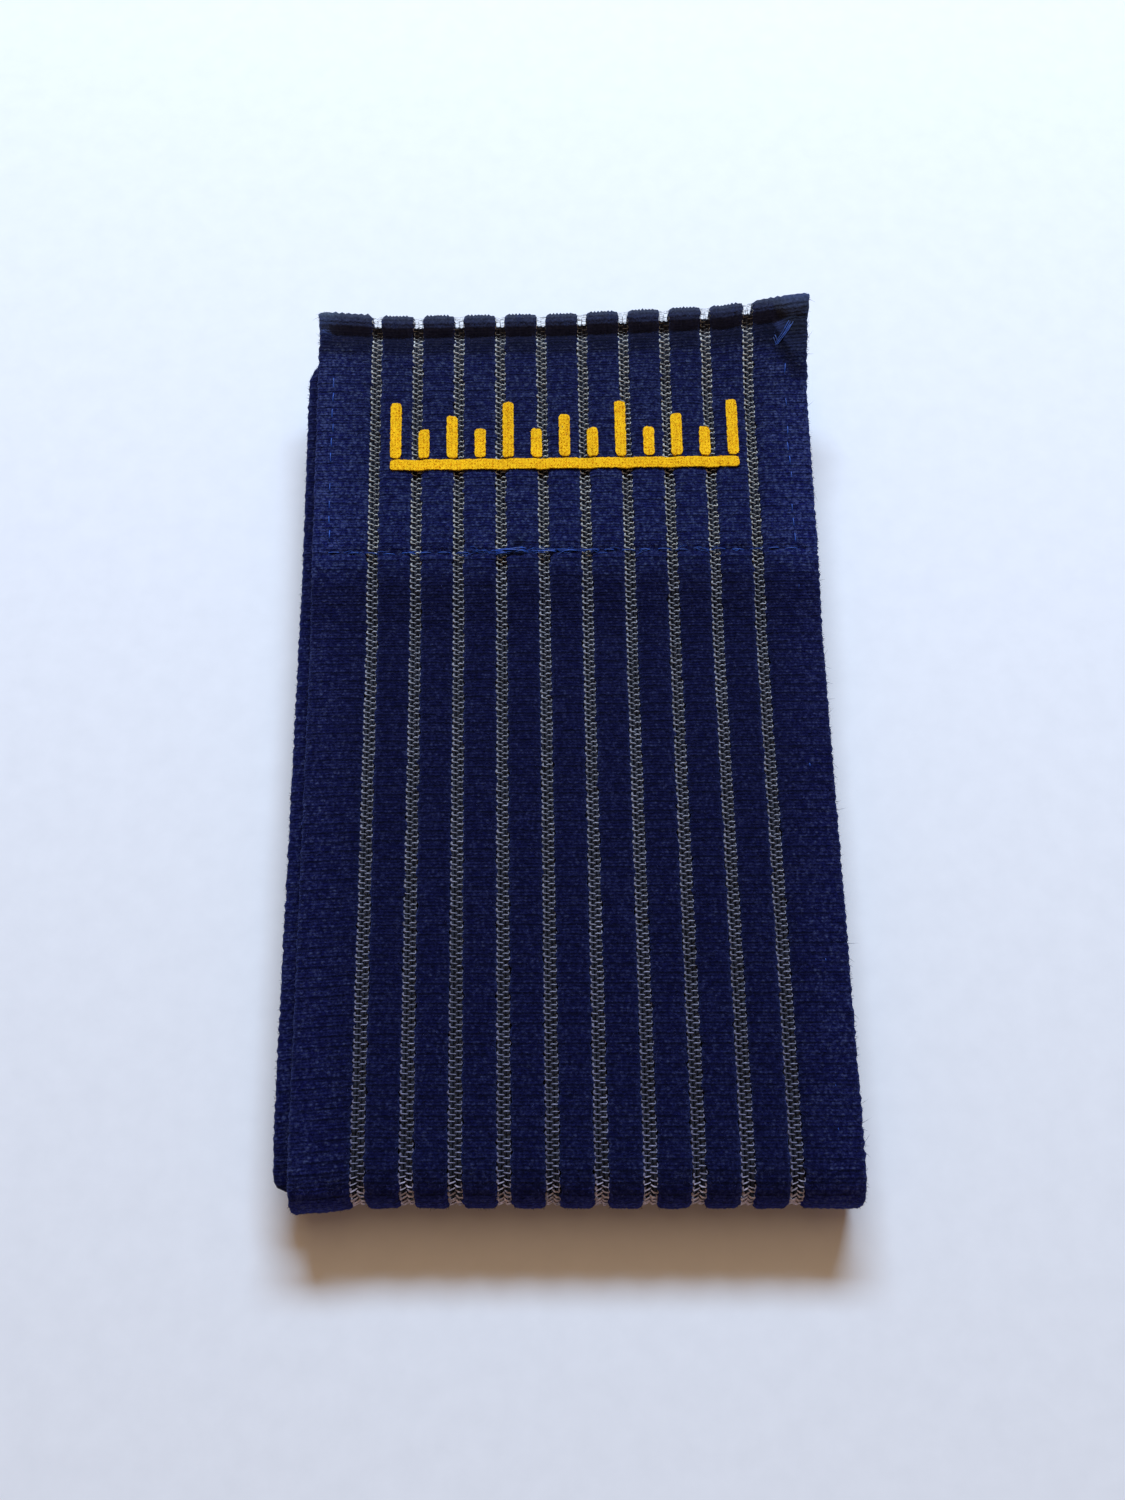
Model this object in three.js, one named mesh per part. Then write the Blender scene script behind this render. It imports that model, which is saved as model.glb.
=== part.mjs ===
// A tennis elbow strap: one length of ribbed plush elastic, fastened to itself as a loop and laid flat.
// The tab with the turned hem lies uppermost, and the hook patch under it grips the strap's inner end.
// Millimetres, +Z up. X runs across the strap, Y along it with the tab at +Y, and it lies on z = 0.

import * as THREE from 'three';

// The cloth: thick plush ribs with thin open stripes between them
const strapWidth = 76;
const ribThickness = 2.0;
const ribRounding = 0.35;
const stripeCount = 10;
const stripePitch = 6.43;
const stripeWidth = 2.0;
const stripeThickness = 1.0;

// The loop, pressed flat: bottom layer, inner end above it, tab layer on top
const foldedLength = 133.0;
const loopGap = 4.6;             // free height between the bottom layer and the inner end
const layerGap = 0.3;            // left between surfaces that lie on each other
const topFoldSetback = 5.0;      // how far the fold under the tab stops short of the tab's edge
const topFoldRise = 1.5;         // extra height of the loop at that fold
const innerEndSetback = 3.0;     // how far the inner end stops short of the near fold
const innerEndDroop = 2.1;
const innerEndDroopLength = 12;
const driftAtTopFold = -2.1;     // the layers lie a little askew, to -X
const driftAtInnerEnd = -2.5;

// The tab: its length from the seam row to the turned edge, and the step up to it
const tabLength = 40.7;
const stepLength = 15;
const hemDepth = 6.5;            // cloth turned under at the edge
const hemSettle = 14;            // the edge's waviness fades out over this length
const hemThinning = 0.4;        // the share by which its sewing presses the cloth thinner
const rollRise = 1.0;            // the turned edge stands proud of the tab
const rollReach = 0.98;          // half the roll's width
const rollOverturn = 0.6;        // radians that the roll turns past its crest
const grooveDepth = 0.5;         // pulled in beside the roll by the hem's sewing
const grooveSetback = 3.6;
const grooveHalfWidth = 1.6;
const grooveThin = 0.6;          // share of the thinning that is left at the groove's far side

// The turned edge across the strap: how far it reaches out, lifts and spreads sideways
const hemWave = [
  { x: -38, reach: 1.0, lift: 0.4, spread: 0.0 },
  { x: -26, reach: 0.2, lift: 0.1, spread: 0.0 },
  { x: 0, reach: 0.3, lift: 0.2, spread: 0.0 },
  { x: 25, reach: 0.8, lift: 1.1, spread: 0.1 },
  { x: 38, reach: 2.0, lift: 2.6, spread: 0.7 },
];

// The near fold and the inner end across the strap: how far they reach along it
const nearWave = [
  { x: -38, reach: -0.55 },
  { x: -28, reach: 0.15 },
  { x: 38, reach: -1.0 },
];

// The hook patch sewn under the tab
const patchWidth = 69;
const patchLength = 28;
const patchThickness = 1.2;
const patchCorner = 3;
const patchSetback = 0.5;        // from the seam row

// Steps along each kind of bend
const foldSteps = 10;
const rollSteps = 8;
const grooveSteps = 6;
const stepSteps = 5;
const droopSteps = 3;
const patchCornerSteps = 5;

const halfRib = ribThickness / 2;
const quarterTurn = Math.PI / 2;
const point = (y, z) => new THREE.Vector2(y, z);
const line = (from, to) => new THREE.LineCurve(from, to);

// Heights of the cloth's middle surface, layer by layer
const bottomZ = halfRib;
const innerZ = ribThickness + loopGap + halfRib;
const topZ = innerZ + ribThickness + layerGap;
const tabOverInner = ribThickness + patchThickness + 2 * layerGap;
const seamZ = innerZ + tabOverInner;

// The seam row is the tab's own origin: u runs to the turned edge, v up from the tab's middle surface
const tabEdgeY = foldedLength / 2;
const nearEdgeY = -foldedLength / 2;
const seamY = tabEdgeY - tabLength;
const topFoldZ = innerZ + topFoldRise;
const topRadius = (topFoldZ - bottomZ) / 2;
const topFoldY = tabEdgeY - topFoldSetback - halfRib - topRadius;
const tabSlope = Math.atan2(topFoldRise, topFoldY - seamY);
function onTab(u, v) {
  return point(u, v).rotateAround(point(0, 0), tabSlope).add(point(seamY, seamZ));
}

// The turned hem: the cloth under the tab, its roll, and the share of the edge's waviness along the tab
const hemThickness = ribThickness * (1 - hemThinning);
const hemV = -grooveDepth - hemThickness - layerGap;
const rollHeight = (rollRise - hemV) / 2;
const rollU = tabLength - rollReach - hemThickness / 2;
const rollV = (rollRise + hemV) / 2;
const hemEndU = tabLength - hemDepth;
const settledU = tabLength - hemSettle;
function hemShare(u) {
  return THREE.MathUtils.clamp((u - settledU) / (rollU - settledU), 0, 1);
}

// What else changes along the cloth: sideways drift, and the shares of the hem's and the near fold's
// waviness and of the hem's thinning
const alongKeys = ['drift', 'hem', 'near', 'thin'];
const plainCloth = { drift: 0, hem: 0, near: 0, thin: 0 };

// The cloth's middle surface seen from the side, as (y, z) curves from the turned hem to the inner end,
// each with the values that are reached where it ends
function clothLegs() {
  const roll = onTab(rollU, rollV);
  const hemRoll = new THREE.EllipseCurve(
    roll.x, roll.y, rollReach, rollHeight, -quarterTurn, quarterTurn + rollOverturn, false, tabSlope);
  const grooveU = tabLength - grooveSetback;
  const grooveEnd = onTab(grooveU - grooveHalfWidth, 0);
  const groove = new THREE.SplineCurve([
    hemRoll.getPoint(1),
    onTab(grooveU + grooveHalfWidth / 3, -0.75 * grooveDepth),
    onTab(grooveU, -grooveDepth),
    onTab(grooveU - grooveHalfWidth / 2, -0.5 * grooveDepth),
    grooveEnd,
  ]);
  const settled = onTab(settledU, 0);
  const seam = onTab(0, 0);

  const stepEnd = point(seamY - stepLength, topZ);
  const step = new THREE.CubicBezierCurve(
    seam,
    onTab(-stepLength / 2, 0),
    point(seamY - stepLength / 2, topZ),
    stepEnd,
  );

  const nearRadius = (topZ - bottomZ) / 2;
  const nearY = nearEdgeY + halfRib + nearRadius;
  const innerSeam = point(seamY, innerZ);
  const innerEndY = nearEdgeY + innerEndSetback;
  const droopStart = point(innerEndY + innerEndDroopLength, innerZ);
  const droop = new THREE.QuadraticBezierCurve(
    droopStart,
    point(innerEndY + innerEndDroopLength / 2, innerZ),
    point(innerEndY, innerZ - innerEndDroop),
  );

  const nearFold = new THREE.EllipseCurve(
    nearY, (topZ + bottomZ) / 2, nearRadius, nearRadius, quarterTurn, 3 * quarterTurn);
  const topFold = new THREE.EllipseCurve(
    topFoldY, (topFoldZ + bottomZ) / 2, topRadius, topRadius, -quarterTurn, quarterTurn);

  const legs = [
    { curve: line(onTab(hemEndU, hemV), onTab(rollU, hemV)), steps: 1, hem: 1, thin: 1 },
    { curve: hemRoll, steps: rollSteps, hem: 1, thin: 1 },
    { curve: groove, steps: grooveSteps, hem: hemShare(grooveU - grooveHalfWidth), thin: grooveThin },
    { curve: line(grooveEnd, settled), steps: 1 },
    { curve: line(settled, seam), steps: 1 },
    { curve: step, steps: stepSteps },
    { curve: line(stepEnd, point(nearY, topZ)), steps: 1, near: 1 },
    { curve: nearFold, steps: foldSteps, near: 1 },
    { curve: line(point(nearY, bottomZ), point(topFoldY, bottomZ)), steps: 1, drift: driftAtTopFold },
    { curve: topFold, steps: foldSteps, drift: driftAtTopFold },
    { curve: line(point(topFoldY, topFoldZ), innerSeam), steps: 1, drift: driftAtTopFold },
    { curve: line(innerSeam, droopStart), steps: 1, drift: driftAtInnerEnd, near: 1 },
    { curve: droop, steps: droopSteps, drift: driftAtInnerEnd, near: 1 },
  ];
  return legs.map((leg) => ({ ...plainCloth, ...leg }));
}

// Sections along the legs, each with its place, the direction of the cloth's face and the other values there
function clothStations(legs) {
  const stations = [];
  let before = { ...plainCloth, hem: hemShare(hemEndU), thin: 1 };
  legs.forEach((leg, index) => {
    for (let step = index === 0 ? 0 : 1; step <= leg.steps; step += 1) {
      const share = step / leg.steps;
      const tangent = leg.curve.getTangent(share);
      const station = { middle: leg.curve.getPoint(share), face: point(tangent.y, -tangent.x) };
      for (const key of alongKeys) {
        station[key] = THREE.MathUtils.lerp(before[key], leg[key], share);
      }
      stations.push(station);
    }
    before = leg;
  });
  return stations;
}

// Outline of the cloth's cross-section, counter-clockwise in (x, height): each rib stands proud both ways
function ribbedOutline() {
  const halfStripe = stripeThickness / 2;
  const stripeCentre = (stripe) => (stripe - (stripeCount - 1) / 2) * stripePitch;
  const upper = [];
  for (let rib = 0; rib <= stripeCount; rib += 1) {
    const left = rib === 0 ? -strapWidth / 2 : stripeCentre(rib - 1) + stripeWidth / 2;
    const right = rib === stripeCount ? strapWidth / 2 : stripeCentre(rib) - stripeWidth / 2;
    upper.push(
      point(left, halfStripe),
      point(left + ribRounding, halfRib),
      point(right - ribRounding, halfRib),
      point(right, halfStripe),
    );
  }
  const lower = upper.map(({ x, y }) => point(x, -y));
  return [...lower, ...upper.reverse()];
}

// A value of a waviness table at x, on straight lines between its rows
function waveAt(table, x, column) {
  const next = Math.max(1, table.findIndex((row) => row.x >= x));
  const from = table[next - 1];
  const to = table[next];
  return THREE.MathUtils.mapLinear(x, from.x, to.x, from[column], to[column]);
}

// One closed skin through the outline at every station, with both ends capped from rib to rib
function loftCloth(outline, stations) {
  const positions = [];
  for (const { middle, face, drift, hem, near, thin } of stations) {
    for (const { x, y } of outline) {
      const height = y * (1 - thin * hemThinning);
      const reach = hem * waveAt(hemWave, x, 'reach') + near * waveAt(nearWave, x, 'reach');
      positions.push(
        x + drift + hem * waveAt(hemWave, x, 'spread'),
        middle.x + face.x * height + reach,
        middle.y + face.y * height + hem * waveAt(hemWave, x, 'lift'),
      );
    }
  }
  const count = outline.length;
  const triangles = [];
  for (let ring = 0; ring < stations.length - 1; ring += 1) {
    for (let side = 0; side < count; side += 1) {
      const near = ring * count + side;
      const beside = ring * count + (side + 1) % count;
      triangles.push(near, beside, beside + count, near, beside + count, near + count);
    }
  }
  const lastRing = (stations.length - 1) * count;
  for (let low = 0; low < count / 2 - 1; low += 1) {
    const high = count - 1 - low;
    triangles.push(low, high - 1, low + 1, low, high, high - 1);
    triangles.push(...[low, low + 1, high - 1, low, high - 1, high].map((corner) => lastRing + corner));
  }
  const geometry = new THREE.BufferGeometry();
  geometry.setAttribute('position', new THREE.Float32BufferAttribute(positions, 3));
  geometry.setIndex(triangles);
  geometry.computeVertexNormals();
  return geometry;
}

// The patch: a flat sheet with round corners, its face towards the inner end of the strap
function patchGeometry() {
  const x = patchWidth / 2 - patchCorner;
  const y = patchLength / 2 - patchCorner;
  const outline = new THREE.Shape();
  outline.absarc(x, y, patchCorner, 0, quarterTurn);
  outline.absarc(-x, y, patchCorner, quarterTurn, 2 * quarterTurn);
  outline.absarc(-x, -y, patchCorner, 2 * quarterTurn, 3 * quarterTurn);
  outline.absarc(x, -y, patchCorner, 3 * quarterTurn, 4 * quarterTurn);
  const sheet = new THREE.ExtrudeGeometry(outline, {
    depth: patchThickness,
    bevelEnabled: false,
    curveSegments: patchCornerSteps,
  });
  return sheet.center();
}

const plush = new THREE.MeshStandardMaterial({ color: 0x15183c, roughness: 0.95, metalness: 0 });
const hookNylon = new THREE.MeshStandardMaterial({ color: 0x16161c, roughness: 0.6, metalness: 0 });

const strapBand = new THREE.Mesh(loftCloth(ribbedOutline(), clothStations(clothLegs())), plush);
strapBand.name = 'strap_band';

const hookPatch = new THREE.Mesh(patchGeometry(), hookNylon);
hookPatch.name = 'hook_patch';
const patchMiddle = onTab(patchSetback + patchLength / 2, -halfRib - layerGap - patchThickness / 2);
hookPatch.position.set(0, patchMiddle.x, patchMiddle.y);
hookPatch.rotation.x = tabSlope;

// The strap stands on z = 0 with the middle of its outline at the origin
const strap = new THREE.Group();
strap.add(strapBand, hookPatch);
const box = new THREE.Box3().setFromObject(strap);
const centre = box.getCenter(new THREE.Vector3());
strap.position.set(-centre.x, -centre.y, -box.min.z);
strap.updateMatrixWorld(true);

export default strap;
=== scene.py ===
import math
import bpy
import numpy as np
from mathutils import Matrix, Vector


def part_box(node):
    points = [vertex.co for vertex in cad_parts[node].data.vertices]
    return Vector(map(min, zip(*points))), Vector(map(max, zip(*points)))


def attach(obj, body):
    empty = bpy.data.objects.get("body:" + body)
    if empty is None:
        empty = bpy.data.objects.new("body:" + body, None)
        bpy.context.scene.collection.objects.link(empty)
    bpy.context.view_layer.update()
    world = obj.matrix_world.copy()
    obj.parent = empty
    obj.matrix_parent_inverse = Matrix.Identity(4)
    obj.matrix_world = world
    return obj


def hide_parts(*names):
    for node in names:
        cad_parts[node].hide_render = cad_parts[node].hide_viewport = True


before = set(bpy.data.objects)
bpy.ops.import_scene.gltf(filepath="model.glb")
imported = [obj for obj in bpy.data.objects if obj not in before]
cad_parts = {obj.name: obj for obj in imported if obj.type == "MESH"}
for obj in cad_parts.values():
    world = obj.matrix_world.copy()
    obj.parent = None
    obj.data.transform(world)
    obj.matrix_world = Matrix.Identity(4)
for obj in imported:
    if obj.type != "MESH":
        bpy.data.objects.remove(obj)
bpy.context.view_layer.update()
bpy.ops.object.select_all(action="DESELECT")
mm = 0.001  # the cloth is worked out in millimetres, and every mesh is in metres
print("frame loaded:", ", ".join(sorted(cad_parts)))


# The cloth and its folds

cloth = {
    "width": 76.0,
    "ribThickness": 2.0,
    "stripeCount": 10,
    "stripePitch": 6.43,
    "stripeWidth": 2.0,
}
fold = {
    "length": 133.0,
    "loopGap": 4.6,
    "layerGap": 0.3,
    "topFoldSetback": 5.0,
    "topFoldRise": 1.5,
    "innerEndSetback": 3.0,
    "innerEndDroop": 2.1,
    "innerEndDroopLength": 12.0,
    "driftAtTopFold": -2.1,
    "driftAtInnerEnd": -2.5,
    "tabLength": 40.7,
    "stepLength": 15.0,
    "seamAboveStep": 0.65,
    "hemDepth": 6.5,
    "hemSettle": 14.0,
    "hemThinning": 0.4,
    "rollRise": 1.0,
    "rollReach": 0.98,
    "rollOverturn": 0.6,
    "grooveDepth": 0.5,
    "grooveSetback": 3.6,
    "grooveHalfWidth": 1.6,
    "grooveThin": 0.6,
    "patchThickness": 1.2,
}
hemWave = {  # the turned edge across the strap: reach along it, lift and sideways spread
    "x": [-38.0, -26.0, 0.0, 25.0, 38.0],
    "reach": [1.0, 0.2, 0.3, 0.8, 2.0],
    "lift": [0.4, 0.1, 0.2, 1.1, 2.6],
    "spread": [0.0, 0.0, 0.0, 0.1, 0.7],
}
nearWave = {"x": [-38.0, -28.0, 38.0], "reach": [-0.55, 0.15, -1.0]}  # the near fold and the inner end
farCorner = {  # the far fold's left corner is drawn out and rounded
    "reach": 1.9,
    "reachFrom": (29.5, 36.5),   # to the left of the strap's middle
    "reachLength": 14.0,
    "tuck": 2.2,
    "tuckFrom": (33.0, 38.0),
    "tuckLength": (1.0, 7.0),
}

halfRib = cloth["ribThickness"] / 2
bottomZ = halfRib
innerZ = cloth["ribThickness"] + fold["loopGap"] + halfRib
topZ = innerZ + cloth["ribThickness"] + fold["layerGap"]
seamZ = innerZ + cloth["ribThickness"] + fold["patchThickness"] + 2 * fold["layerGap"]
tabEdgeY = fold["length"] / 2
seamY = tabEdgeY - fold["tabLength"]
topFoldZ = innerZ + fold["topFoldRise"]
topRadius = (topFoldZ - bottomZ) / 2
topFoldY = tabEdgeY - fold["topFoldSetback"] - halfRib - topRadius
tabSlope = math.atan2(fold["topFoldRise"], topFoldY - seamY)
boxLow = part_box("strap_band")[0]
originX = boxLow[0] / mm + cloth["width"] / 2 - fold["driftAtInnerEnd"]
originY = boxLow[1] / mm + fold["length"] / 2 - min(nearWave["reach"])


def onTab(u, v):  # u from the seam row to the turned edge, v up from the tab's middle
    y = u * math.cos(tabSlope) - v * math.sin(tabSlope)
    z = u * math.sin(tabSlope) + v * math.cos(tabSlope)
    return np.array((seamY + y, seamZ + z))


def alongLine(start, end):
    share = np.linspace(0, 1, 300)[:, None]
    return np.array(start) * (1 - share) + np.array(end) * share


def alongArc(centre, radii, start, end, turn=0.0):  # of a circle, or of an ellipse turned by an angle
    angle = np.linspace(start, end, 120)
    plain = np.column_stack((np.cos(angle), np.sin(angle))) * radii
    axes = np.array(((math.cos(turn), math.sin(turn)), (-math.sin(turn), math.cos(turn))))
    return np.array(centre) + plain @ axes


def alongBezier(*handles):
    share = np.linspace(0, 1, 120)[:, None]
    rows = [np.array(handle) * np.ones_like(share) for handle in handles]
    while len(rows) > 1:
        rows = [a * (1 - share) + b * share for a, b in zip(rows, rows[1:])]
    return rows[0]


def alongSpline(*knots):  # a smooth line through every knot
    padded = [knots[0], *knots, knots[-1]]
    share = np.linspace(0, 1, 40)[:, None]
    runs = []
    for a, b, c, d in zip(padded, padded[1:], padded[2:], padded[3:]):
        slopeB = (c - a) / 2
        slopeC = (d - b) / 2
        runs.append(b + slopeB * share + (3 * (c - b) - 2 * slopeB - slopeC) * share**2
                    + (2 * (b - c) + slopeB + slopeC) * share**3)
    return np.concatenate(runs)


def clothPath(spacing=0.1):
    hemThickness = cloth["ribThickness"] * (1 - fold["hemThinning"])
    hemV = -fold["grooveDepth"] - hemThickness - fold["layerGap"]
    rollRadii = (fold["rollReach"], (fold["rollRise"] - hemV) / 2)
    rollU = fold["tabLength"] - fold["rollReach"] - hemThickness / 2
    settledU = fold["tabLength"] - fold["hemSettle"]
    hemEndU = fold["tabLength"] - fold["hemDepth"]
    grooveU = fold["tabLength"] - fold["grooveSetback"]
    grooveEndU = grooveU - fold["grooveHalfWidth"]
    quarter = math.pi / 2

    def hemShare(u):
        return min(1.0, max(0.0, (u - settledU) / (rollU - settledU)))

    roll = alongArc(onTab(rollU, (fold["rollRise"] + hemV) / 2), rollRadii,
                    -quarter, quarter + fold["rollOverturn"], tabSlope)
    groove = alongSpline(
        roll[-1],
        onTab(grooveU + fold["grooveHalfWidth"] / 3, -0.75 * fold["grooveDepth"]),
        onTab(grooveU, -fold["grooveDepth"]),
        onTab(grooveU - fold["grooveHalfWidth"] / 2, -0.5 * fold["grooveDepth"]),
        onTab(grooveEndU, 0),
    )
    nearRadius = (topZ - bottomZ) / 2
    nearY = -tabEdgeY + halfRib + nearRadius
    innerEndY = -tabEdgeY + fold["innerEndSetback"]
    stepEndY = seamY - fold["stepLength"]
    stepHalf = fold["stepLength"] / 2
    droopLength = fold["innerEndDroopLength"]
    topDrift = fold["driftAtTopFold"]
    endDrift = fold["driftAtInnerEnd"]
    nearFold = alongArc((nearY, (topZ + bottomZ) / 2), nearRadius, quarter, 3 * quarter)
    topFold = alongArc((topFoldY, (topFoldZ + bottomZ) / 2), topRadius, -quarter, quarter)
    step = alongBezier(onTab(0, 0), onTab(-stepHalf, 0), (seamY - stepHalf, topZ), (stepEndY, topZ))
    droop = alongBezier((innerEndY + droopLength, innerZ), (innerEndY + droopLength / 2, innerZ),
                        (innerEndY, innerZ - fold["innerEndDroop"]))
    legs = [  # name, points, and where the leg ends: drift, then shares of hem wave, near wave and thinning
        ("hem", alongLine(onTab(hemEndU, hemV), onTab(rollU, hemV)), 0, 1, 0, 1),
        ("roll", roll, 0, 1, 0, 1),
        ("groove", groove, 0, hemShare(grooveEndU), 0, fold["grooveThin"]),
        ("tabEnd", alongLine(onTab(grooveEndU, 0), onTab(settledU, 0)), 0, 0, 0, 0),
        ("tab", alongLine(onTab(settledU, 0), onTab(0, 0)), 0, 0, 0, 0),
        ("step", step, 0, 0, 0, 0),
        ("top", alongLine((stepEndY, topZ), (nearY, topZ)), 0, 0, 1, 0),
        ("nearFold", nearFold, 0, 0, 1, 0),
        ("bottom", alongLine((nearY, bottomZ), (topFoldY, bottomZ)), topDrift, 0, 0, 0),
        ("topFold", topFold, topDrift, 0, 0, 0),
        ("underTab", alongLine((topFoldY, topFoldZ), (seamY, innerZ)), topDrift, 0, 0, 0),
        ("inner", alongLine((seamY, innerZ), (innerEndY + droopLength, innerZ)), endDrift, 0, 1, 0),
        ("droop", droop, endDrift, 0, 1, 0),
    ]
    points, shares, legEnds = [], [], {}
    now, reached = np.array((0.0, hemShare(hemEndU), 0.0, 1.0)), 0.0
    for name, leg, *atEnd in legs:
        share = np.linspace(0, 1, len(leg))[:, None]
        points.append(leg)
        shares.append(now * (1 - share) + np.array(atEnd) * share)
        now = np.array(atEnd)
        reached += np.linalg.norm(np.diff(leg, axis=0), axis=1).sum()
        legEnds[name] = reached
    points, shares = np.concatenate(points), np.concatenate(shares)
    gone = np.concatenate(([0], np.linalg.norm(np.diff(points, axis=0), axis=1).cumsum()))
    s = np.arange(0, reached, spacing)
    y, z = (np.interp(s, gone, points[:, axis]) for axis in (0, 1))
    soft = np.ones(9) / 9  # rounds off the joins between the legs
    y, z = (np.convolve(np.pad(row, 4, mode="reflect", reflect_type="odd"), soft, "valid") for row in (y, z))
    ty, tz = np.gradient(y), np.gradient(z)
    size = np.hypot(ty, tz)
    drift, hem, near, thin = (np.interp(s, gone, column) for column in shares.T)
    return {"s": s, "y": y, "z": z, "faceY": tz / size, "faceZ": -ty / size, "drift": drift, "hem": hem,
            "near": near, "thin": thin, "ends": legEnds, "length": reached}


path = clothPath()
ends = path["ends"]
seamS = ends["tab"] - fold["seamAboveStep"]  # where the sewing runs
visibleEnd = ends["nearFold"]
farS = (ends["bottom"] + ends["topFold"]) / 2  # the far fold's outermost line
besideRoll = (path["s"] > ends["roll"]) & (path["s"] < ends["groove"])
overTab = path["z"] - path["y"] * math.tan(tabSlope)
grooveS = path["s"][besideRoll][overTab[besideRoll].argmin()]
crestS = path["s"][path["y"].argmax()]
print(f"cloth {path['length']:.1f} mm long: crest {crestS:.1f}, groove {grooveS:.1f}, seam {seamS:.1f} mm")


def rampUp(value, start, end):
    share = np.clip((value - start) / (end - start), 0, 1)
    return share * share * (3 - 2 * share)


def layOnFold(flat):  # flat cloth (x, s along it, h off its middle) to the folded strap, in metres
    x, s, h = flat[:, 0], flat[:, 1], flat[:, 2]
    rows = ("y", "z", "faceY", "faceZ", "drift", "hem", "near", "thin")
    at = {row: np.interp(s, path["s"], path[row]) for row in rows}
    wave = {row: np.interp(x, hemWave["x"], hemWave[row]) * at["hem"] for row in ("reach", "lift", "spread")}
    reach = wave["reach"] + np.interp(x, nearWave["x"], nearWave["reach"]) * at["near"]
    fromFar = np.abs(s - farS)
    drawn = farCorner["reach"] * rampUp(-x, *farCorner["reachFrom"])
    reach += drawn * np.exp(-(fromFar / farCorner["reachLength"]) ** 2)
    tuck = farCorner["tuck"] * rampUp(-x, *farCorner["tuckFrom"])
    tuck *= 1 - rampUp(fromFar, *farCorner["tuckLength"])
    h = h * (1 - fold["hemThinning"] * at["thin"]) / np.hypot(at["faceY"], at["faceZ"])
    return mm * np.column_stack((
        x + at["drift"] + wave["spread"] + tuck + originX,
        at["y"] + at["faceY"] * h + reach + originY,
        np.maximum(at["z"] + at["faceZ"] * h + wave["lift"], 0),
    ))


def stripeCentre(stripe):
    return (stripe - (cloth["stripeCount"] - 1) / 2) * cloth["stripePitch"]


def ribEdges(rib):
    half = cloth["stripeWidth"] / 2
    left = -cloth["width"] / 2 if rib == 0 else stripeCentre(rib - 1) + half
    right = cloth["width"] / 2 if rib == cloth["stripeCount"] else stripeCentre(rib) - half
    return left, right


def softNoise(x, s, size, seed):  # smooth unevenness about `size` mm across
    rng = np.random.default_rng(seed)
    total = np.zeros_like(x)
    for _ in range(7):
        angle = rng.uniform(0, 2 * math.pi)
        period = size * rng.uniform(0.7, 1.5)
        along = (x * math.cos(angle) + s * math.sin(angle)) * 2 * math.pi / period
        total += np.sin(along + rng.uniform(0, 6.28))
    return total / 3


# Making meshes

def deselectAll():
    if bpy.context.object and bpy.context.object.mode != "OBJECT":
        bpy.ops.object.mode_set(mode="OBJECT")
    bpy.ops.object.select_all(action="DESELECT")


def selectOnly(*pieces):
    deselectAll()
    for piece in pieces:
        piece.select_set(True)
    bpy.context.view_layer.objects.active = pieces[0]


def pieceCoords(piece):
    points = np.empty(len(piece.data.vertices) * 3)
    piece.data.vertices.foreach_get("co", points)
    return points.reshape(-1, 3)


def setCoords(piece, points):
    piece.data.vertices.foreach_set("co", np.asarray(points, dtype=np.float32).ravel())
    piece.data.update()


def clothUv(piece, flat):  # flat cloth coordinates in centimetres
    while piece.data.uv_layers:
        piece.data.uv_layers.remove(piece.data.uv_layers[0])
    layer = piece.data.uv_layers.new(name="cloth")
    corners = np.empty(len(piece.data.loops), dtype=np.int32)
    piece.data.loops.foreach_get("vertex_index", corners)
    layer.data.foreach_set("uv", (flat[corners, :2] / 10).astype(np.float32).ravel())


def selectEdges(piece, axis):  # the edges that run along one axis, in edit mode
    bpy.ops.mesh.select_mode(type="EDGE")
    bpy.ops.mesh.select_all(action="DESELECT")
    bpy.ops.object.mode_set(mode="OBJECT")
    points = pieceCoords(piece)
    ends = np.empty(len(piece.data.edges) * 2, dtype=np.int32)
    piece.data.edges.foreach_get("vertices", ends)
    span = np.abs(np.diff(points[ends.reshape(-1, 2)], axis=1)[:, 0, :])
    along = (span[:, axis] > 1e-6) & (np.delete(span, axis, axis=1).max(axis=1) < 1e-6)
    piece.data.edges.foreach_set("select", along)
    bpy.ops.object.mode_set(mode="EDIT")


def roundedBar(place, size, axis, rounding, steps):  # its edges along one axis rounded, left in edit mode
    deselectAll()
    bpy.ops.mesh.primitive_cube_add(size=1, location=place)
    bar = bpy.context.object
    bar.scale = size
    bpy.ops.object.transform_apply(location=True, rotation=False, scale=True)
    bpy.ops.object.mode_set(mode="EDIT")
    selectEdges(bar, axis)
    bpy.ops.mesh.bevel(offset=rounding, segments=steps, profile=0.5)
    return bar


def outwardNormals(piece):
    selectOnly(piece)
    bpy.ops.object.mode_set(mode="EDIT")
    bpy.ops.mesh.select_all(action="SELECT")
    bpy.ops.mesh.normals_make_consistent(inside=False)
    bpy.ops.object.mode_set(mode="OBJECT")


def joinPieces(name, pieces):
    selectOnly(*pieces)
    bpy.ops.object.join()
    pieces[0].name = name
    pieces[0].data.name = name
    return pieces[0]


def arrayPiece(name, points, faces):
    mesh = bpy.data.meshes.new(name)
    mesh.from_pydata(points.tolist(), [], faces)
    mesh.update()
    piece = bpy.data.objects.new(name, mesh)
    bpy.context.collection.objects.link(piece)
    outwardNormals(piece)
    return piece


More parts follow.
